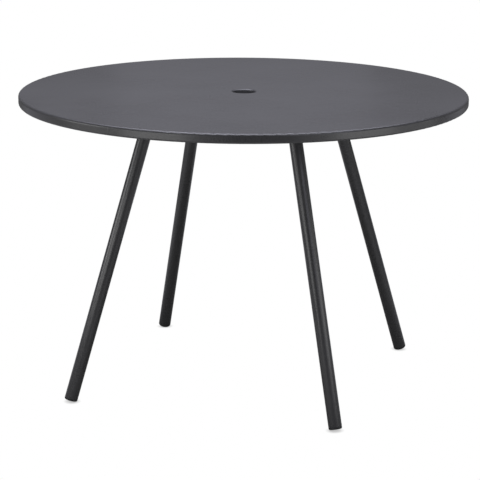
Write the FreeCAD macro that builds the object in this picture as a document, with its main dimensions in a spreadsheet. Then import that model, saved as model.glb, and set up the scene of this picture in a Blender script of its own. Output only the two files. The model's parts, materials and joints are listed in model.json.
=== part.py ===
import FreeCAD, Part
import os

import Sketcher

# Round garden table with a parasol hole and four splayed tube legs.
# Millimetres and degrees. The origin is on the floor below the middle of the top, +Z is up.
# Each leg, with its rail, plates and glide, is drawn in the XZ plane with X pointing outwards,
# and its body is then turned about Z to its own corner.

# Driving dimensions: alias and value
SIZES = [
    # Whole table
    ("table_height", 730.0),
    ("top_diameter", 1100.0),
    ("first_leg_azimuth", -45.0),
    # Pressed top
    ("top_sheet", 3.0),
    ("skirt_depth", 23.0),
    ("edge_inside_radius", 3.0),
    ("hem_width", 14.0),
    ("hem_inside_radius", 1.0),
    ("parasol_hole_diameter", 58.0),
    ("collar_depth", 20.0),
    ("collar_inside_radius", 1.0),
    # Frame under the top
    ("rail_width", 60.0),
    ("rail_height", 20.0),
    ("rail_wall", 2.0),
    ("rail_corner_radius", 2.0),
    ("rail_end_gap", 25.0),
    ("hub_ring_wall", 3.0),
    ("hub_corner_gap", 2.5),
    ("cap_plate", 3.0),
    ("cap_plug_depth", 12.0),
    ("cap_clearance", 0.3),
    # Legs
    ("leg_diameter", 32.0),
    ("leg_wall", 2.0),
    ("leg_splay", 17.7),
    ("foot_circle_radius", 473.0),
    ("glide_thickness", 6.0),
    ("glide_edge_radius", 3.5),
    ("glide_plug_depth", 22.0),
    ("glide_clearance", 0.2),
    ("glide_tip_chamfer", 1.0),
    # Bolted joint between leg and rail
    ("leg_plate_length", 100.0),
    ("leg_plate_thickness", 5.0),
    ("leg_plate_corner_radius", 8.0),
    ("screw_edge_distance", 12.0),
    ("screw_diameter", 8.0),
    ("screw_length", 16.0),
    ("screw_hole_clearance", 0.5),
    ("screw_thread_clearance", 0.1),
    ("screw_head_diameter", 14.0),
    ("screw_head_height", 4.4),
    ("screw_head_round", 3.0),
    ("socket_width", 5.0),
    ("socket_depth", 2.6),
    ("washer_diameter", 16.0),
    ("washer_thickness", 1.6),
    ("washer_clearance", 0.2),
    ("nut_plate_thickness", 6.0),
    ("nut_plate_end_distance", 10.0),
    ("nut_plate_clearance", 0.5),
]

# Heights above the floor that follow from the sizes
TOP = "Sizes.table_height"
UNDERSIDE = "(Sizes.table_height - Sizes.top_sheet)"
SKIRT_BOTTOM = "(Sizes.table_height - Sizes.skirt_depth)"
HEM_TOP = f"({SKIRT_BOTTOM} + Sizes.top_sheet)"
COLLAR_BOTTOM = "(Sizes.table_height - Sizes.collar_depth)"
RAIL_BOTTOM = f"({UNDERSIDE} - Sizes.rail_height)"
RAIL_FLOOR = f"({RAIL_BOTTOM} + Sizes.rail_wall)"
PLATE_BOTTOM = f"({RAIL_BOTTOM} - Sizes.leg_plate_thickness)"
WASHER_BOTTOM = f"({PLATE_BOTTOM} - Sizes.washer_thickness)"

# Distances from the table's axis
TOP_RADIUS = "(Sizes.top_diameter / 2)"
SKIRT_INSIDE = f"({TOP_RADIUS} - Sizes.top_sheet)"
HEM_INSIDE = f"({TOP_RADIUS} - Sizes.hem_width)"
HOLE_RADIUS = "(Sizes.parasol_hole_diameter / 2)"
COLLAR_OUTSIDE = f"({HOLE_RADIUS} + Sizes.top_sheet)"
HALF_RAIL = "(Sizes.rail_width / 2)"
HUB_DIAMETER = f"(2 * (sqrt(2) * {HALF_RAIL} + Sizes.hub_corner_gap))"
RAIL_END = f"({HEM_INSIDE} - Sizes.rail_end_gap)"

# The leg's axis, from the middle of the foot's end face to the plate on top
LEG_RADIUS = "(Sizes.leg_diameter / 2)"
FOOT_Z = (
    f"(sin(Sizes.leg_splay) * ({LEG_RADIUS} - Sizes.glide_edge_radius)"
    " + (1 - cos(Sizes.leg_splay)) * Sizes.glide_edge_radius)"
)
FOOT_X = f"(Sizes.foot_circle_radius - tan(Sizes.leg_splay) * {FOOT_Z})"
LEG_TOP_X = f"(Sizes.foot_circle_radius - tan(Sizes.leg_splay) * {PLATE_BOTTOM})"
LEG_REACH = f"(({PLATE_BOTTOM} - {FOOT_Z}) / cos(Sizes.leg_splay) + Sizes.leg_diameter)"

# The four screws of a leg stand on a rectangle round the leg's top
SCREW_ALONG = "(Sizes.leg_plate_length / 2 - Sizes.screw_edge_distance)"
SCREW_ACROSS = f"({HALF_RAIL} - Sizes.screw_edge_distance)"
SCREW_PLACES = [
    (f"({LEG_TOP_X} {along} {SCREW_ALONG})", f"({across} {SCREW_ACROSS})")
    for along in "+-"
    for across in ("1 *", "-1 *")
]
PASSING_HOLE = "(Sizes.screw_diameter + 2 * Sizes.screw_hole_clearance)"
TAPPED_HOLE = "(Sizes.screw_diameter + 2 * Sizes.screw_thread_clearance)"
WASHER_HOLE = "(Sizes.screw_diameter + 2 * Sizes.washer_clearance)"

CORNERS = ["front_right", "back_right", "back_left", "front_left"]
QUARTER_TURN = 90
MATCH = 0.01

# Names of a sketch's own origin and of the ends of its lines
SKETCH_ORIGIN = -1
START, END, CENTRE = 1, 2, 3

doc = FreeCAD.newDocument("garden_table")
sheet = doc.addObject("Spreadsheet::Sheet", "Sizes")
nodes = []


def fill_sheet():
    """Write each driving dimension beside its name."""
    for row, (alias, value) in enumerate(SIZES, start=1):
        sheet.set(f"A{row}", alias)
        sheet.set(f"B{row}", str(value))
        sheet.setAlias(f"B{row}", alias)
    doc.recompute()


def number(text):
    """Value of an expression over the sheet."""
    return float(sheet.evalExpression(text))


def new_body(name):
    """Empty body that becomes the node of that name."""
    body = doc.addObject("PartDesign::Body", name)
    body.Label = name
    nodes.append(body)
    return body


def corner_body(piece, index):
    """Empty body for one corner's copy of a piece, turned to that corner."""
    body = new_body(f"{piece}_{CORNERS[index]}")
    turn = index * QUARTER_TURN
    body.setExpression("Placement.Rotation.Angle", f"Sizes.first_leg_azimuth + {turn}")
    return body


def origin_item(body, role):
    """One of the body's own origin planes or axes."""
    return next(item for item in body.Origin.OriginFeatures if item.Role == role)


def new_sketch(body, name, role, offset=(), turn=None):
    """Empty sketch on an origin plane, moved and turned within that plane's own axes."""
    sketch = body.newObject("Sketcher::SketchObject", name)
    sketch.AttachmentSupport = [(origin_item(body, role), "")]
    sketch.MapMode = "FlatFace"
    for axis, text in zip("xyz", offset):
        sketch.setExpression(f"AttachmentOffset.Base.{axis}", text)
    if turn:
        sketch.setExpression("AttachmentOffset.Rotation.Angle", turn)
    return sketch


def drive(sketch, constraint, text):
    """Add a dimension to a sketch and bind it to an expression."""
    index = sketch.addConstraint(constraint)
    sketch.setExpression(f"Constraints[{index}]", text)


def hold(sketch, geometry, vertex, x, y):
    """Hold a vertex at a place given by two expressions."""
    for kind, text in (("DistanceX", x), ("DistanceY", y)):
        place = Sketcher.Constraint(kind, SKETCH_ORIGIN, START, geometry, vertex, number(text))
        drive(sketch, place, text)


def outline(sketch, corners):
    """Closed outline of straight lines through corners given as pairs of expressions."""
    points = [FreeCAD.Vector(number(x), number(y), 0) for x, y in corners]
    first = sketch.GeometryCount
    for start, end in zip(points, points[1:] + points[:1]):
        sketch.addGeometry(Part.LineSegment(start, end), False)
    for i, (x, y) in enumerate(corners):
        following = first + (i + 1) % len(corners)
        sketch.addConstraint(Sketcher.Constraint("Coincident", first + i, END, following, START))
        hold(sketch, first + i, START, x, y)


def rectangle(sketch, left, right, bottom, top):
    """Rectangle between two pairs of expressions."""
    outline(sketch, [(left, bottom), (right, bottom), (right, top), (left, top)])


def circle(sketch, x, y, diameter):
    """Circle whose middle and diameter are expressions."""
    middle = FreeCAD.Vector(number(x), number(y), 0)
    curve = Part.Circle(middle, FreeCAD.Vector(0, 0, 1), number(diameter) / 2)
    index = sketch.addGeometry(curve, False)
    hold(sketch, index, CENTRE, x, y)
    drive(sketch, Sketcher.Constraint("Diameter", index, number(diameter)), diameter)


def revolve(body, sketch, name):
    """Turn a profile about its sketch's upright axis."""
    feature = body.newObject("PartDesign::Revolution", name)
    feature.Profile = sketch
    feature.ReferenceAxis = (sketch, ["V_Axis"])
    doc.recompute()
    return feature


def pad(body, sketch, name, length, downwards=False):
    """Raise a sketch by a length given as an expression."""
    feature = body.newObject("PartDesign::Pad", name)
    feature.Profile = sketch
    feature.Reversed = downwards
    feature.setExpression("Length", length)
    doc.recompute()
    return feature


def pocket(body, sketch, name, depth=None, upwards=False):
    """Cut a sketch to a depth, or right through both ways, and see that it cuts."""
    before = body.Shape.Volume
    feature = body.newObject("PartDesign::Pocket", name)
    feature.Profile = sketch
    feature.Reversed = upwards
    if depth:
        feature.setExpression("Length", depth)
    else:
        feature.SideType = "Symmetric"
        feature.Type = "ThroughAll"
    doc.recompute()
    if feature.Shape.Volume > before - MATCH:
        raise RuntimeError(f"{name} cuts nothing from {body.Label}")
    return feature


def edges(feature, wanted):
    """Names of the feature's edges that a test picks."""
    names = [f"Edge{i}" for i, edge in enumerate(feature.Shape.Edges, start=1) if wanted(edge)]
    if not names:
        raise RuntimeError(f"{feature.Label} has no such edge")
    return names


def ring_edges(feature, radius, x, z):
    """Names of the circular edges with this radius and this middle."""
    ring = [number(text) for text in (radius, x, z)]

    def on_the_ring(edge):
        if not isinstance(edge.Curve, Part.Circle):
            return False
        middle = edge.Curve.Center
        here = (edge.Curve.Radius, middle.x, middle.z)
        return max(abs(a - b) for a, b in zip(here, ring)) < MATCH

    return edges(feature, on_the_ring)


def straight_edges(feature, axis):
    """Names of the outermost straight edges along an axis, X or Z."""
    box = feature.Shape.BoundBox

    def is_outer(edge):
        if not isinstance(edge.Curve, (Part.Line, Part.LineSegment)):
            return False
        along = abs(getattr(edge.tangentAt(edge.FirstParameter), axis)) > 1 - MATCH
        middle = edge.CenterOfMass
        at_side = min(abs(middle.y - box.YMin), abs(middle.y - box.YMax)) < MATCH
        return along and at_side

    return edges(feature, is_outer)


def round_off(body, feature, names, name, radius):
    """Fillet edges of a feature."""
    rounded = body.newObject("PartDesign::Fillet", name)
    rounded.Base = (feature, names)
    rounded.setExpression("Radius", radius)
    doc.recompute()
    return rounded


def bevel(body, feature, names, name, size):
    """Chamfer edges of a feature."""
    cut = body.newObject("PartDesign::Chamfer", name)
    cut.Base = (feature, names)
    cut.setExpression("Size", size)
    doc.recompute()
    return cut


def screw_holes(body, name, height, depth, diameter):
    """Four holes up from a height, one for each screw of the leg."""
    places = new_sketch(body, f"{name}_places", "XY_Plane", ("0", "0", height))
    for x, y in SCREW_PLACES:
        circle(places, x, y, diameter)
    return pocket(body, places, name, depth, upwards=True)


def top_panel():
    """Pressed sheet with a turned-down, hemmed skirt and a collar drawn round the hole."""
    body = new_body("top_panel")
    profile = new_sketch(body, "sheet_profile", "XZ_Plane")
    outline(profile, [
        (HOLE_RADIUS, COLLAR_BOTTOM),
        (HOLE_RADIUS, TOP),
        (TOP_RADIUS, TOP),
        (TOP_RADIUS, SKIRT_BOTTOM),
        (HEM_INSIDE, SKIRT_BOTTOM),
        (HEM_INSIDE, HEM_TOP),
        (SKIRT_INSIDE, HEM_TOP),
        (SKIRT_INSIDE, UNDERSIDE),
        (COLLAR_OUTSIDE, UNDERSIDE),
        (COLLAR_OUTSIDE, COLLAR_BOTTOM),
    ])
    solid = revolve(body, profile, "pressed_sheet")
    bends = [
        ("edge_outside", TOP_RADIUS, TOP, "Sizes.edge_inside_radius + Sizes.top_sheet"),
        ("edge_inside", SKIRT_INSIDE, UNDERSIDE, "Sizes.edge_inside_radius"),
        ("collar_outside", HOLE_RADIUS, TOP, "Sizes.collar_inside_radius + Sizes.top_sheet"),
        ("collar_inside", COLLAR_OUTSIDE, UNDERSIDE, "Sizes.collar_inside_radius"),
        ("hem_outside", TOP_RADIUS, SKIRT_BOTTOM, "Sizes.hem_inside_radius + Sizes.top_sheet"),
        ("hem_inside", SKIRT_INSIDE, HEM_TOP, "Sizes.hem_inside_radius"),
    ]
    for name, ring, height, radius in bends:
        names = ring_edges(solid, ring, "0", height)
        solid = round_off(body, solid, names, name, radius)


def hub_ring():
    """Short tube round the collar that the rails run up to."""
    body = new_body("hub_ring")
    section = new_sketch(body, "ring_section", "XY_Plane", ("0", "0", RAIL_BOTTOM))
    circle(section, "0", "0", HUB_DIAMETER)
    circle(section, "0", "0", f"{HUB_DIAMETER} - 2 * Sizes.hub_ring_wall")
    pad(body, section, "ring", "Sizes.rail_height")


def rail(index):
    """Rectangular tube from the hub ring towards the skirt, with holes for the leg's screws."""
    body = corner_body("rail", index)
    section = new_sketch(body, "rail_section", "YZ_Plane")
    inside = f"({HALF_RAIL} - Sizes.rail_wall)"
    rectangle(section, f"-{HALF_RAIL}", HALF_RAIL, RAIL_BOTTOM, UNDERSIDE)
    rectangle(section, f"-{inside}", inside, RAIL_FLOOR, f"{UNDERSIDE} - Sizes.rail_wall")
    tube = pad(body, section, "rail_tube", RAIL_END)
    sides = straight_edges(tube, "x")
    round_off(body, tube, sides, "rail_corners", "Sizes.rail_corner_radius")
    cope = new_sketch(body, "hub_circle", "XY_Plane")
    circle(cope, "0", "0", HUB_DIAMETER)
    pocket(body, cope, "hub_cope")
    screw_holes(body, "rail_holes", RAIL_BOTTOM, "2 * Sizes.rail_wall", PASSING_HOLE)


def rail_cap(index):
    """Plastic plug that closes the rail's outer end."""
    body = corner_body("rail_cap", index)
    face = new_sketch(body, "cap_face", "YZ_Plane", ("0", "0", RAIL_END))
    rectangle(face, f"-{HALF_RAIL}", HALF_RAIL, RAIL_BOTTOM, UNDERSIDE)
    plate = pad(body, face, "cap_plate", "Sizes.cap_plate")
    sides = straight_edges(plate, "x")
    round_off(body, plate, sides, "cap_corners", "Sizes.rail_corner_radius")
    plug = new_sketch(body, "plug_face", "YZ_Plane", ("0", "0", RAIL_END))
    inset = "(Sizes.rail_wall + Sizes.cap_clearance)"
    half = f"({HALF_RAIL} - {inset})"
    rectangle(plug, f"-{half}", half, f"{RAIL_BOTTOM} + {inset}", f"{UNDERSIDE} - {inset}")
    pad(body, plug, "cap_plug", "Sizes.cap_plug_depth", downwards=True)


def nut_plate(index):
    """Tapped plate that lies on the rail's floor and takes the leg's screws."""
    body = corner_body("nut_plate", index)
    blank = new_sketch(body, "nut_plate_outline", "XY_Plane", ("0", "0", RAIL_FLOOR))
    length = f"({SCREW_ALONG} + Sizes.nut_plate_end_distance)"
    half = f"({HALF_RAIL} - Sizes.rail_wall - Sizes.nut_plate_clearance)"
    rectangle(blank, f"{LEG_TOP_X} - {length}", f"{LEG_TOP_X} + {length}", f"-{half}", half)
    pad(body, blank, "nut_plate_blank", "Sizes.nut_plate_thickness")
    screw_holes(body, "tapped_holes", RAIL_FLOOR, "Sizes.nut_plate_thickness", TAPPED_HOLE)


def leg_plate(index):
    """Flat plate on top of the leg, bolted up against the rail."""
    body = corner_body("leg_plate", index)
    blank = new_sketch(body, "plate_outline", "XY_Plane", ("0", "0", PLATE_BOTTOM))
    half = "(Sizes.leg_plate_length / 2)"
    rectangle(blank, f"{LEG_TOP_X} - {half}", f"{LEG_TOP_X} + {half}", f"-{HALF_RAIL}", HALF_RAIL)
    plate = pad(body, blank, "plate_blank", "Sizes.leg_plate_thickness")
    upright = straight_edges(plate, "z")
    round_off(body, plate, upright, "plate_corners", "Sizes.leg_plate_corner_radius")
    screw_holes(body, "plate_holes", PLATE_BOTTOM, "Sizes.leg_plate_thickness", PASSING_HOLE)


def leg_tube(index):
    """Splayed round tube, square at the foot and cut level under its plate."""
    body = corner_body("leg_tube", index)
    wall = new_sketch(body, "tube_wall", "XZ_Plane", (FOOT_X, FOOT_Z), "Sizes.leg_splay")
    inside = f"{LEG_RADIUS} - Sizes.leg_wall"
    rectangle(wall, inside, LEG_RADIUS, "Sizes.glide_thickness", LEG_REACH)
    revolve(body, wall, "tube")
    above = new_sketch(body, "above_plate", "XZ_Plane")
    top = f"{PLATE_BOTTOM} + 2 * Sizes.leg_diameter"
    rectangle(above, "0", "Sizes.foot_circle_radius", PLATE_BOTTOM, top)
    pocket(body, above, "level_cut")


def foot_glide(index):
    """Plastic foot with a rounded rim, pushed into the leg."""
    body = corner_body("foot_glide", index)
    profile = new_sketch(body, "glide_profile", "XZ_Plane", (FOOT_X, FOOT_Z), "Sizes.leg_splay")
    plug = f"({LEG_RADIUS} - Sizes.leg_wall - Sizes.glide_clearance)"
    tip = "(Sizes.glide_thickness + Sizes.glide_plug_depth)"
    outline(profile, [
        ("0", "0"),
        (LEG_RADIUS, "0"),
        (LEG_RADIUS, "Sizes.glide_thickness"),
        (plug, "Sizes.glide_thickness"),
        (plug, tip),
        ("0", tip),
    ])
    solid = revolve(body, profile, "glide")
    rim = ring_edges(solid, LEG_RADIUS, FOOT_X, FOOT_Z)
    solid = round_off(body, solid, rim, "glide_rim", "Sizes.glide_edge_radius")
    tip_x = f"{FOOT_X} - sin(Sizes.leg_splay) * {tip}"
    tip_z = f"{FOOT_Z} + cos(Sizes.leg_splay) * {tip}"
    end = ring_edges(solid, plug, tip_x, tip_z)
    bevel(body, solid, end, "glide_tip", "Sizes.glide_tip_chamfer")


def repeat_for_all_screws(body, originals, name):
    """Copy features from one screw's place to the leg's four, and to all four legs."""
    rows = body.newObject("PartDesign::LinearPattern", f"{name}_along")
    rows.Direction = (origin_item(body, "X_Axis"), [""])
    rows.Reversed = True
    rows.Occurrences = 2
    rows.setExpression("Length", f"2 * {SCREW_ALONG}")
    pairs = body.newObject("PartDesign::LinearPattern", f"{name}_across")
    pairs.Direction = (origin_item(body, "Y_Axis"), [""])
    pairs.Reversed = True
    pairs.Occurrences = 2
    pairs.setExpression("Length", f"2 * {SCREW_ACROSS}")
    legs = body.newObject("PartDesign::PolarPattern", f"{name}_legs")
    legs.Axis = (origin_item(body, "Z_Axis"), [""])
    legs.Angle = 360
    legs.Occurrences = len(CORNERS)
    everywhere = body.newObject("PartDesign::MultiTransform", f"{name}_everywhere")
    everywhere.Originals = originals
    everywhere.Transformations = [rows, pairs, legs]
    body.Tip = everywhere
    body.setExpression("Placement.Rotation.Angle", "Sizes.first_leg_azimuth")
    doc.recompute()


def leg_screws():
    """Button-head screws with a hexagon socket, four to a leg."""
    body = new_body("leg_screws")
    x, y = SCREW_PLACES[0]
    profile = new_sketch(body, "screw_profile", "XZ_Plane", (x, WASHER_BOTTOM, f"-{y}"))
    head = "(Sizes.screw_head_diameter / 2)"
    outline(profile, [
        ("0", "-Sizes.screw_head_height"),
        (head, "-Sizes.screw_head_height"),
        (head, "0"),
        ("Sizes.screw_diameter / 2", "0"),
        ("Sizes.screw_diameter / 2", "Sizes.screw_length"),
        ("0", "Sizes.screw_length"),
    ])
    turned = revolve(body, profile, "screw")
    head_z = f"{WASHER_BOTTOM} - Sizes.screw_head_height"
    rim = ring_edges(turned, head, x, head_z)
    rounded = round_off(body, turned, rim, "button_head", "Sizes.screw_head_round")
    socket = new_sketch(body, "socket_outline", "XY_Plane", (x, y, head_z))
    across_corners = "Sizes.socket_width / 2 / cos(30)"
    outline(socket, [
        (f"{across_corners} * cos({turn})", f"{across_corners} * sin({turn})")
        for turn in range(0, 360, 60)
    ])
    hexagon = pocket(body, socket, "socket", "Sizes.socket_depth", upwards=True)
    repeat_for_all_screws(body, [turned, rounded, hexagon], "screws")


def leg_washers():
    """A plain washer under every screw head."""
    body = new_body("leg_washers")
    x, y = SCREW_PLACES[0]
    section = new_sketch(body, "washer_section", "XY_Plane", ("0", "0", WASHER_BOTTOM))
    circle(section, x, y, "Sizes.washer_diameter")
    circle(section, x, y, WASHER_HOLE)
    washer = pad(body, section, "washer", "Sizes.washer_thickness")
    repeat_for_all_screws(body, [washer], "washers")


def check_document():
    """Stop if any object failed or any node has no valid shape."""
    for item in doc.Objects:
        if {"Invalid", "Error"} & set(item.State):
            raise RuntimeError(f"{item.Label} failed: {item.State}")
    for body in nodes:
        if body.Shape.isNull() or not body.Shape.isValid():
            raise RuntimeError(f"{body.Label} has no valid shape")


def export_nodes():
    """Write every node to its own file and print its size."""
    os.makedirs("parts", exist_ok=True)
    for body in nodes:
        body.Shape.exportStep(f"parts/{body.Label}.step")
        print(f"{body.Label}: {len(body.Shape.Solids)} solids, {body.Shape.Volume:.1f} mm3")


fill_sheet()
top_panel()
hub_ring()
for corner in range(len(CORNERS)):
    rail(corner)
    rail_cap(corner)
    nut_plate(corner)
    leg_plate(corner)
    leg_tube(corner)
    foot_glide(corner)
leg_screws()
leg_washers()
check_document()
export_nodes()
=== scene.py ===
"""Umbrella table: the finish, the welds, the floor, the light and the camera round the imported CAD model.

Lengths are in metres and angles in degrees, in the CAD's own frame: Z is up through the parasol hole.
"""
import json
from math import cos, pi, radians, sin

import bmesh
import bpy
from mathutils import Matrix, Vector


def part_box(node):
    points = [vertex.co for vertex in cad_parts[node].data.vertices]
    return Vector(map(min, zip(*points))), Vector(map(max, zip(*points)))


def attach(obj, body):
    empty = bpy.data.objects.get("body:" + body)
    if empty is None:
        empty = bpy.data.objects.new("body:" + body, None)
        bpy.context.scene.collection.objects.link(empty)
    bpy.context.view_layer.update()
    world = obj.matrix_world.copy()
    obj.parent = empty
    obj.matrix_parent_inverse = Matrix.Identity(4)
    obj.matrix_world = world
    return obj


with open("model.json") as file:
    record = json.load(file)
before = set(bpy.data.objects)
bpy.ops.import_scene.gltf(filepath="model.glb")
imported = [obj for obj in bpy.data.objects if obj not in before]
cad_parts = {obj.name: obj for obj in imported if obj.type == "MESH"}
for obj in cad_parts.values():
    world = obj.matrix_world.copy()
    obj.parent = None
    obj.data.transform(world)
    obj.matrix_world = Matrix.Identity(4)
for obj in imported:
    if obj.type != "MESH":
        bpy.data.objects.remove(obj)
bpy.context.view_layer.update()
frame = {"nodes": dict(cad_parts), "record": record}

UP = Vector((0.0, 0.0, 1.0))
DOWN = Vector((0.0, 0.0, -1.0))

# Camera, fitted to the outline of the top, the legs and the feet in the photograph

CAMERA_AZIMUTH = 17.594
CAMERA_DISTANCE = 4.5088
CAMERA_HEIGHT = 1.5008
CAMERA_TILT = 14.2812
CAMERA_PAN = 0.8490
CAMERA_ROLL = -0.4515
CAMERA_SHIFT = -0.0625
CAMERA_SEES_TO = 100.0
SENSOR_WIDTH_MM = 36.0
LENS_MM = 139.204


def add_camera():
    """The camera stands CAMERA_AZIMUTH to the right of -Y and looks down on the table by CAMERA_TILT."""
    data = bpy.data.cameras.new("camera")
    data.sensor_width = SENSOR_WIDTH_MM
    data.lens = LENS_MM
    data.shift_x = CAMERA_SHIFT
    data.clip_end = CAMERA_SEES_TO
    camera = bpy.data.objects.new("camera", data)
    bpy.context.collection.objects.link(camera)
    turn = Matrix.Rotation(radians(CAMERA_AZIMUTH), 4, "Z")
    place = turn @ Matrix.Translation((0.0, -CAMERA_DISTANCE, CAMERA_HEIGHT))
    pan = Matrix.Rotation(radians(-CAMERA_PAN), 4, "Z")
    tilt = Matrix.Rotation(radians(90.0 - CAMERA_TILT), 4, "X")
    roll = Matrix.Rotation(radians(-CAMERA_ROLL), 4, "Z")
    camera.matrix_world = place @ pan @ tilt @ roll
    bpy.context.scene.camera = camera


# Node helpers

MIX_SOCKETS = {"FLOAT": (2, 3, 0), "VECTOR": (4, 5, 1), "RGBA": (6, 7, 2)}


def add_node(tree, kind, inputs=None, **settings):
    """A new node with its settings, its inputs set or linked."""
    node = tree.nodes.new(kind)
    for name, value in settings.items():
        setattr(node, name, value)
    for name, value in (inputs or {}).items():
        if isinstance(value, bpy.types.NodeSocket):
            tree.links.new(value, node.inputs[name])
        else:
            node.inputs[name].default_value = value
    return node


def number(tree, operation, *values):
    """The number that a math node makes of the values."""
    return add_node(tree, "ShaderNodeMath", dict(enumerate(values)), operation=operation).outputs[0]


def vector(tree, operation, inputs, output="Vector"):
    """What a vector math node makes of its inputs."""
    return add_node(tree, "ShaderNodeVectorMath", inputs, operation=operation).outputs[output]


def mix(tree, kind, factor, first, second):
    """first where factor is 0 and second where it is 1, as numbers, vectors or colours."""
    one, two, result = MIX_SOCKETS[kind]
    node = add_node(tree, "ShaderNodeMix", {0: factor, one: first, two: second}, data_type=kind)
    return node.outputs[result]


def mix_shaders(tree, factor, first, second):
    """The first shader where factor is 0 and the second where it is 1."""
    return add_node(tree, "ShaderNodeMixShader", {0: factor, 1: first, 2: second}).outputs[0]


def noise(tree, place, size, detail=2.0, roughness=0.5):
    """Noise from 0 to 1 whose blobs are about size metres wide."""
    return add_node(tree, "ShaderNodeTexNoise", {
        "Vector": place,
        "Scale": 1.0 / size,
        "Detail": detail,
        "Roughness": roughness,
    }).outputs["Fac"]


def between(tree, value, low, high, from_low=0.3, from_high=0.7):
    """value, stretched from from_low and from_high to low and high."""
    return add_node(tree, "ShaderNodeMapRange", {
        "Value": value,
        "From Min": from_low,
        "From Max": from_high,
        "To Min": low,
        "To Max": high,
    }).outputs["Result"]


def bump(tree, height, depth, under=None):
    """Bumps of the given depth in metres, on top of the bumps under."""
    inputs = {"Height": height, "Distance": depth, "Strength": 1.0}
    if under is not None:
        inputs["Normal"] = under
    return add_node(tree, "ShaderNodeBump", inputs).outputs["Normal"]


def new_material(name):
    """A material with an empty node tree."""
    material = bpy.data.materials.new(name)
    material.use_nodes = True
    tree = material.node_tree
    tree.nodes.clear()
    return material, tree


def own_place(tree):
    """Each point's place in its object's own frame, in metres."""
    return add_node(tree, "ShaderNodeTexCoord").outputs["Object"]


def finish_material(tree, shader):
    add_node(tree, "ShaderNodeOutputMaterial", {"Surface": shader})


# The top's rounded edge, which the mesh follows in straight steps

TOP_RADIUS = 0.55
TOP_HEIGHT = 0.73
TOP_EDGE = 0.006
MESH_SLACK = 0.0012


def edge_normal(tree, place):
    """The mesh's normal, or the true one on the outside of the top's rounded edge, for an even shine."""
    meshed = add_node(tree, "ShaderNodeNewGeometry").outputs["Normal"]
    bend_radius = TOP_RADIUS - TOP_EDGE
    bend_height = TOP_HEIGHT - TOP_EDGE
    level = vector(tree, "MULTIPLY", {0: place, 1: (1.0, 1.0, 0.0)})
    radius = vector(tree, "LENGTH", {0: level}, "Value")
    height = add_node(tree, "ShaderNodeSeparateXYZ", {0: place}).outputs["Z"]
    outward = vector(tree, "NORMALIZE", {0: level})
    ring = vector(tree, "SCALE", {0: outward, "Scale": number(tree, "MINIMUM", radius, bend_radius)})
    centre = vector(tree, "ADD", {0: ring, 1: (0.0, 0.0, bend_height)})
    true = vector(tree, "NORMALIZE", {0: vector(tree, "SUBTRACT", {0: place, 1: centre})})
    facing = vector(tree, "DOT_PRODUCT", {0: meshed, 1: true}, "Value")
    where = 1.0
    for value, least in ((radius, bend_radius - MESH_SLACK), (height, bend_height), (facing, 0.0)):
        where = number(tree, "MULTIPLY", number(tree, "GREATER_THAN", value, least), where)
    return mix(tree, "VECTOR", where, meshed, true)


# Powder coat

COAT_DARK = (0.030, 0.030, 0.031, 1.0)
COAT_LIGHT = (0.041, 0.041, 0.042, 1.0)
COAT_ROUGHNESS = (0.25, 0.31)
COAT_TONES = (0.7, 1.3)
COAT_GRAIN = 0.0007
COAT_FLECK = 0.0022
COAT_FLECK_SHARE = 0.6
COAT_PEEL = 0.004
COAT_CLOUD = 0.25
COAT_RELIEF = 0.00002
COAT_IOR = 1.5


def powder_coat():
    """Baked powder paint: a fine grain with small flecks over faint orange peel, on a dark lava grey."""
    material, tree = new_material("powder_coat_grey")
    place = own_place(tree)
    grain = noise(tree, place, COAT_GRAIN, 3.0, 0.6)
    fleck = noise(tree, place, COAT_FLECK, 1.0)
    peel = noise(tree, place, COAT_PEEL)
    cloud = noise(tree, place, COAT_CLOUD, 3.0)
    tone = number(tree, "ADD", mix(tree, "FLOAT", COAT_FLECK_SHARE, grain, fleck), cloud)
    under = bump(tree, peel, COAT_RELIEF, edge_normal(tree, place))
    shader = add_node(tree, "ShaderNodeBsdfPrincipled", {
        "Base Color": mix(tree, "RGBA", between(tree, tone, 0.0, 1.0, *COAT_TONES), COAT_DARK, COAT_LIGHT),
        "Roughness": between(tree, tone, *COAT_ROUGHNESS, *COAT_TONES),
        "Normal": bump(tree, grain, COAT_RELIEF, under),
        "IOR": COAT_IOR,
    })
    finish_material(tree, shader.outputs[0])
    return material


# Black plastic of the glides and the rail plugs

PLASTIC_DARK = (0.010, 0.010, 0.011, 1.0)
PLASTIC_LIGHT = (0.017, 0.017, 0.018, 1.0)
PLASTIC_ROUGHNESS = (0.5, 0.62)
PLASTIC_GRAIN = 0.0005
PLASTIC_CLOUD = 0.01
PLASTIC_RELIEF = 0.00003
PLASTIC_IOR = 1.49


def black_plastic():
    """Moulded plastic with a fine spark-eroded grain."""
    material, tree = new_material("moulded_plastic_black")
    place = own_place(tree)
    grain = noise(tree, place, PLASTIC_GRAIN, 3.0, 0.6)
    cloud = noise(tree, place, PLASTIC_CLOUD)
    shader = add_node(tree, "ShaderNodeBsdfPrincipled", {
        "Base Color": mix(tree, "RGBA", between(tree, cloud, 0.0, 1.0), PLASTIC_DARK, PLASTIC_LIGHT),
        "Roughness": between(tree, grain, *PLASTIC_ROUGHNESS),
        "Normal": bump(tree, grain, PLASTIC_RELIEF),
        "IOR": PLASTIC_IOR,
    })
    finish_material(tree, shader.outputs[0])
    return material


# Zinc plating of the screws, washers and tapped plates

ZINC_DARK = (0.50, 0.50, 0.48, 1.0)
ZINC_LIGHT = (0.64, 0.64, 0.63, 1.0)
ZINC_ROUGHNESS = (0.28, 0.42)
ZINC_CLOUD = 0.004
ZINC_GRAIN = 0.0004
ZINC_RELIEF = 0.00001


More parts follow.
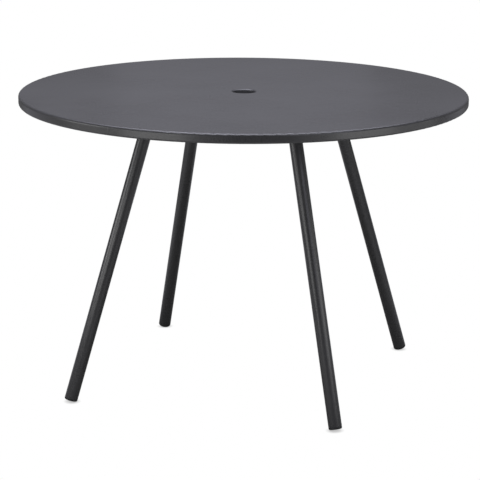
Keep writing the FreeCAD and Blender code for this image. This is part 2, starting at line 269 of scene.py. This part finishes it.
def zinc():
    """Bright zinc plating on rolled steel, slightly cloudy."""
    material, tree = new_material("zinc_plated_steel")
    place = own_place(tree)
    cloud = noise(tree, place, ZINC_CLOUD, 4.0)
    grain = noise(tree, place, ZINC_GRAIN)
    shader = add_node(tree, "ShaderNodeBsdfPrincipled", {
        "Base Color": mix(tree, "RGBA", between(tree, cloud, 0.0, 1.0), ZINC_DARK, ZINC_LIGHT),
        "Metallic": 1.0,
        "Roughness": between(tree, cloud, *ZINC_ROUGHNESS),
        "Normal": bump(tree, grain, ZINC_RELIEF),
    })
    finish_material(tree, shader.outputs[0])
    return material


def dress_cad_nodes(materials):
    """Each CAD node keeps its mesh and gets the node material of its slot."""
    for part in frame["record"]["subparts"]:
        node = frame["nodes"][part["node"]]
        node.data.materials.clear()
        node.data.materials.append(materials[part["material_slot"]])


# Welds, which the CAD model leaves out

CORNERS = {"front_right": -45.0, "back_right": 45.0, "back_left": 135.0, "front_left": 225.0}
BETWEEN_CORNERS = (0.0, 90.0, 180.0, 270.0)
LEG_RADIUS = 0.016
LEG_SPLAY = 17.7
RAIL_WIDTH = 0.060
HUB_RADIUS = 0.0449

BEAD_STEP = 0.0006
BEAD_SIDES = 10
BEAD_TAPER = 0.004
BEAD_TIP = 0.05
RIPPLE_PITCH = 0.0024
RIPPLE_DEPTH = 0.16
RIPPLE_MIDDLE = 0.6


def direction(azimuth):
    """The level unit vector at that angle from +X."""
    return Vector((cos(radians(azimuth)), sin(radians(azimuth)), 0.0))


def bead_radius(radius, along, length, closed):
    """A bead's radius at that many metres along it: rippled, and tapered at the ends of an open one."""
    rippled = radius * (1.0 + RIPPLE_DEPTH * (abs(sin(pi * along / RIPPLE_PITCH)) - RIPPLE_MIDDLE))
    if closed:
        return rippled
    from_end = max(0.0, min(along, length - along)) / BEAD_TAPER
    return rippled * max(BEAD_TIP, min(1.0, from_end) ** 0.5)


def skin(shape, rings, closed):
    """Faces from each ring of corners to the next, and over the ends of an open bead."""
    pairs = list(zip(rings, rings[1:]))
    if closed:
        pairs.append((rings[-1], rings[0]))
    else:
        shape.faces.new(list(reversed(rings[0])))
        shape.faces.new(rings[-1])
    for one, two in pairs:
        for k in range(BEAD_SIDES):
            m = (k + 1) % BEAD_SIDES
            shape.faces.new((one[k], one[m], two[m], two[k]))


def add_bead(shape, path, radius, above, closed=False):
    """Adds one weld bead along path. above is square to the path: one vector, or one for each point."""
    tops = above if isinstance(above, list) else [above] * len(path)
    turns = [2.0 * pi * k / BEAD_SIDES for k in range(BEAD_SIDES)]
    length = sum((b - a).length for a, b in zip(path, path[1:]))
    along = 0.0
    rings = []
    for i, (point, top) in enumerate(zip(path, tops)):
        before = path[i - 1] if closed or i else point
        after = path[(i + 1) % len(path)] if closed or i + 1 < len(path) else point
        if i:
            along += (point - before).length
        aside = (after - before).cross(top).normalized()
        reach = bead_radius(radius, along, length, closed)
        rings.append([shape.verts.new(point + reach * (cos(t) * aside + sin(t) * top)) for t in turns])
    skin(shape, rings, closed)


def add_piece(name, shape, material):
    """A new smooth piece of the object, made from a bmesh in the CAD's frame."""
    bmesh.ops.recalc_face_normals(shape, faces=shape.faces)
    mesh = bpy.data.meshes.new(name)
    shape.to_mesh(mesh)
    shape.free()
    mesh.shade_smooth()
    mesh.materials.append(material)
    piece = bpy.data.objects.new(name, mesh)
    bpy.context.collection.objects.link(piece)
    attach(piece, "root")


def line(start, end):
    """Points from start to end, BEAD_STEP apart."""
    count = max(2, round((end - start).length / BEAD_STEP))
    return [start.lerp(end, i / count) for i in range(count + 1)]


def arc(centre, radius, first, last):
    """Level points round centre from one azimuth to the other, BEAD_STEP apart."""
    count = max(2, round(radians(abs(last - first)) * radius / BEAD_STEP))
    return [centre + radius * direction(first + (last - first) * i / count) for i in range(count + 1)]


# Leg welds: a bead round each leg, where it meets the underside of its plate

LEG_BEAD = 0.0032
LEG_BEAD_OFF = 0.0010


def add_leg_weld(corner, material):
    low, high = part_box("leg_plate_" + corner)
    outward = direction(CORNERS[corner])
    across = UP.cross(outward)
    centre = Vector(((low[0] + high[0]) / 2.0, (low[1] + high[1]) / 2.0, low[2]))
    splay = radians(LEG_SPLAY)
    long_axis = LEG_RADIUS / cos(splay)
    down_leg = outward * sin(splay) - UP * cos(splay)
    path = []
    above = []
    count = round(2.0 * pi * LEG_RADIUS / BEAD_STEP)
    for i in range(count):
        t = 2.0 * pi * i / count
        point = centre + outward * long_axis * cos(t) + across * LEG_RADIUS * sin(t)
        normal = (outward * LEG_RADIUS * cos(t) + across * long_axis * sin(t)).normalized()
        away = (normal + down_leg).normalized()
        path.append(point + LEG_BEAD_OFF * away)
        above.append(away)
    shape = bmesh.new()
    add_bead(shape, path, LEG_BEAD, above, closed=True)
    add_piece("leg_weld_" + corner, shape, material)


# Rail welds: stitches that hold both sides of each rail to the sheet above it

STITCH_BEAD = 0.0022
STITCH_LENGTH = 0.030
STITCH_RADII = (0.09, 0.2167, 0.3433, 0.47)
STITCH_OFF = 0.0008


def add_rail_weld(corner, material):
    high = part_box("rail_" + corner)[1]
    outward = direction(CORNERS[corner])
    across = UP.cross(outward)
    level = UP * (high[2] - STITCH_OFF)
    shape = bmesh.new()
    for side in (-1.0, 1.0):
        aside = across * side * (RAIL_WIDTH / 2.0 + STITCH_OFF) + level
        for radius in STITCH_RADII:
            start = aside + outward * (radius - STITCH_LENGTH / 2.0)
            add_bead(shape, line(start, start + outward * STITCH_LENGTH), STITCH_BEAD, UP)
    add_piece("rail_weld_" + corner, shape, material)


# Hub weld: upright beads between the rails' inner ends, and arcs under the hub ring's lower edge

HUB_BEAD = 0.0028
HUB_BEAD_OFF = 0.0015
HUB_BEAD_FROM_LOW = 0.002
HUB_BEAD_FROM_HIGH = 0.0005
HUB_ARC_BEAD = 0.0022
HUB_ARC_HALF = 38.0
HUB_ARC_OFF = 0.0008


def add_hub_weld(material):
    low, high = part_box("hub_ring")
    shape = bmesh.new()
    for azimuth in BETWEEN_CORNERS:
        foot = direction(azimuth) * (HUB_RADIUS + HUB_BEAD_OFF)
        path = line(foot + UP * (low[2] + HUB_BEAD_FROM_LOW), foot + UP * (high[2] - HUB_BEAD_FROM_HIGH))
        add_bead(shape, path, HUB_BEAD, direction(azimuth))
    for azimuth in CORNERS.values():
        path = arc(UP * (low[2] + HUB_ARC_OFF), HUB_RADIUS, azimuth - HUB_ARC_HALF, azimuth + HUB_ARC_HALF)
        add_bead(shape, path, HUB_ARC_BEAD, UP)
    add_piece("hub_weld", shape, material)


# Floor and world

FLOOR_RADIUS = 40.0
FLOOR_CORNERS = 64
PAINTED_SHADOW_REACH = 0.01
PAINTED_SHADOW_DARKEST = 0.45
FLOOR_PAPER = (0.5, 0.5, 0.47, 1.0)
SEEN_WHITE = (1.0, 1.0, 1.0, 1.0)
ROOM_GLOW = 0.185
ROOM_COLOUR = (1.01, 1.0, 1.06, 1.0)


def camera_only(tree, seen, lit):
    """A shader that the camera sees as seen, and that lights the object as lit does."""
    return mix_shaders(tree, add_node(tree, "ShaderNodeLightPath").outputs["Is Camera Ray"], lit, seen)


def floor_white():
    """Overexposed white paper, with a painted contact shadow where a foot touches it, and clear from below.
    """
    material, tree = new_material("floor_white")
    # Painted contact shadow: ambient occlusion near the feet dims the glow that the camera sees.
    painted_shadow = add_node(tree, "ShaderNodeAmbientOcclusion", {"Distance": PAINTED_SHADOW_REACH}).outputs["AO"]
    strength = between(tree, painted_shadow, PAINTED_SHADOW_DARKEST, 1.0, 0.0, 1.0)
    glow = add_node(tree, "ShaderNodeEmission", {"Strength": strength})
    paper = add_node(tree, "ShaderNodeBsdfDiffuse", {"Color": FLOOR_PAPER})
    clear = add_node(tree, "ShaderNodeBsdfTransparent")
    below = add_node(tree, "ShaderNodeNewGeometry").outputs["Backfacing"]
    top = camera_only(tree, glow.outputs[0], paper.outputs[0])
    finish_material(tree, mix_shaders(tree, below, top, clear.outputs[0]))
    return material


def add_floor():
    mesh = bpy.data.meshes.new("floor")
    shape = bmesh.new()
    bmesh.ops.create_circle(shape, cap_ends=True, segments=FLOOR_CORNERS, radius=FLOOR_RADIUS)
    shape.to_mesh(mesh)
    shape.free()
    mesh.materials.append(floor_white())
    floor = bpy.data.objects.new("floor", mesh)
    bpy.context.collection.objects.link(floor)


def add_world():
    """White behind the table, and a dim even room all round it."""
    world = bpy.data.worlds.new("studio")
    world.use_nodes = True
    bpy.context.scene.world = world
    tree = world.node_tree
    tree.nodes.clear()
    seen = add_node(tree, "ShaderNodeBackground", {"Color": SEEN_WHITE, "Strength": 1.0}).outputs[0]
    lit = add_node(tree, "ShaderNodeBackground", {"Color": ROOM_COLOUR, "Strength": ROOM_GLOW}).outputs[0]
    add_node(tree, "ShaderNodeOutputWorld", {"Surface": camera_only(tree, seen, lit)})


# Softboxes. The standing ones face the table's axis: degrees right of the camera, distance and height of
# the middle, width, height, brightness and colour. The overhead ones face down: metres right of the axis
# and away from the camera, width, depth, brightness and colour.

NEUTRAL = (1.0, 1.0, 1.0)
COOL = (1.0, 1.0, 1.15)
STANDING = {
    "back": (180.0, 2.6, 1.2, 1.0, 1.2, 0.062, COOL),
    "back_left_low": (-118.0, 2.9, 0.2, 1.9, 0.4, 0.30, COOL),
    "left": (-74.7, 2.28, 0.9, 1.1, 0.6, 3.52, NEUTRAL),
    "left_near": (-67.5, 1.74, 0.6, 0.92, 0.4, 0.81, NEUTRAL),
    "front_left": (-37.5, 1.74, 0.6, 0.92, 0.4, 3.09, NEUTRAL),
    "front_middle": (-15.0, 1.75, 0.6, 0.46, 0.4, 0.50, NEUTRAL),
    "front_right": (30.0, 1.75, 0.6, 0.46, 0.4, 0.64, NEUTRAL),
    "front_right_high": (30.0, 1.75, 1.1, 0.92, 0.6, 1.10, COOL),
    "right_near": (52.5, 1.74, 0.6, 0.92, 0.4, 2.66, NEUTRAL),
    "right": (82.5, 1.74, 0.6, 0.92, 0.4, 0.90, NEUTRAL),
    "back_right_low": (124.0, 2.9, 0.2, 1.4, 0.4, 0.29, COOL),
}
OVERHEAD_HEIGHT = 2.3
OVERHEAD = {
    "overhead_wide": (0.0, 0.0, 2.7, 2.7, 2.06, COOL),
    "overhead_strip": (0.0, -0.3, 1.3, 0.4, 15.8, COOL),
    "overhead_left": (-0.45, 0.3, 0.4, 0.4, 19.2, COOL),
}


def add_softbox(name, centre, facing, width, height, brightness, colour):
    """An area light of that brightness, which the camera doesn't see. Its place is as seen by the camera."""
    data = bpy.data.lights.new(name, "AREA")
    data.shape = "RECTANGLE"
    data.size = width
    data.size_y = height
    data.energy = pi * width * height * brightness
    data.color = colour
    light = bpy.data.objects.new(name, data)
    light.visible_camera = False
    bpy.context.collection.objects.link(light)
    turn = Matrix.Rotation(radians(CAMERA_AZIMUTH), 4, "Z")
    aim = facing.to_track_quat("-Z", "Y").to_matrix().to_4x4()
    light.matrix_world = turn @ Matrix.Translation(centre) @ aim


def add_light():
    for name, (azimuth, distance, middle, *rest) in STANDING.items():
        aside = Vector((sin(radians(azimuth)), -cos(radians(azimuth)), 0.0))
        add_softbox(name, aside * distance + UP * middle, -aside, *rest)
    for name, (right, away, *rest) in OVERHEAD.items():
        add_softbox(name, (right, away, OVERHEAD_HEIGHT), DOWN, *rest)


add_camera()
materials = {"powder_coat": powder_coat(), "foot_plastic": black_plastic(), "zinc_steel": zinc()}
dress_cad_nodes(materials)
for corner in CORNERS:
    add_leg_weld(corner, materials["powder_coat"])
    add_rail_weld(corner, materials["powder_coat"])
add_hub_weld(materials["powder_coat"])
add_floor()
add_world()
add_light()
bpy.context.scene.view_settings.view_transform = "Standard"
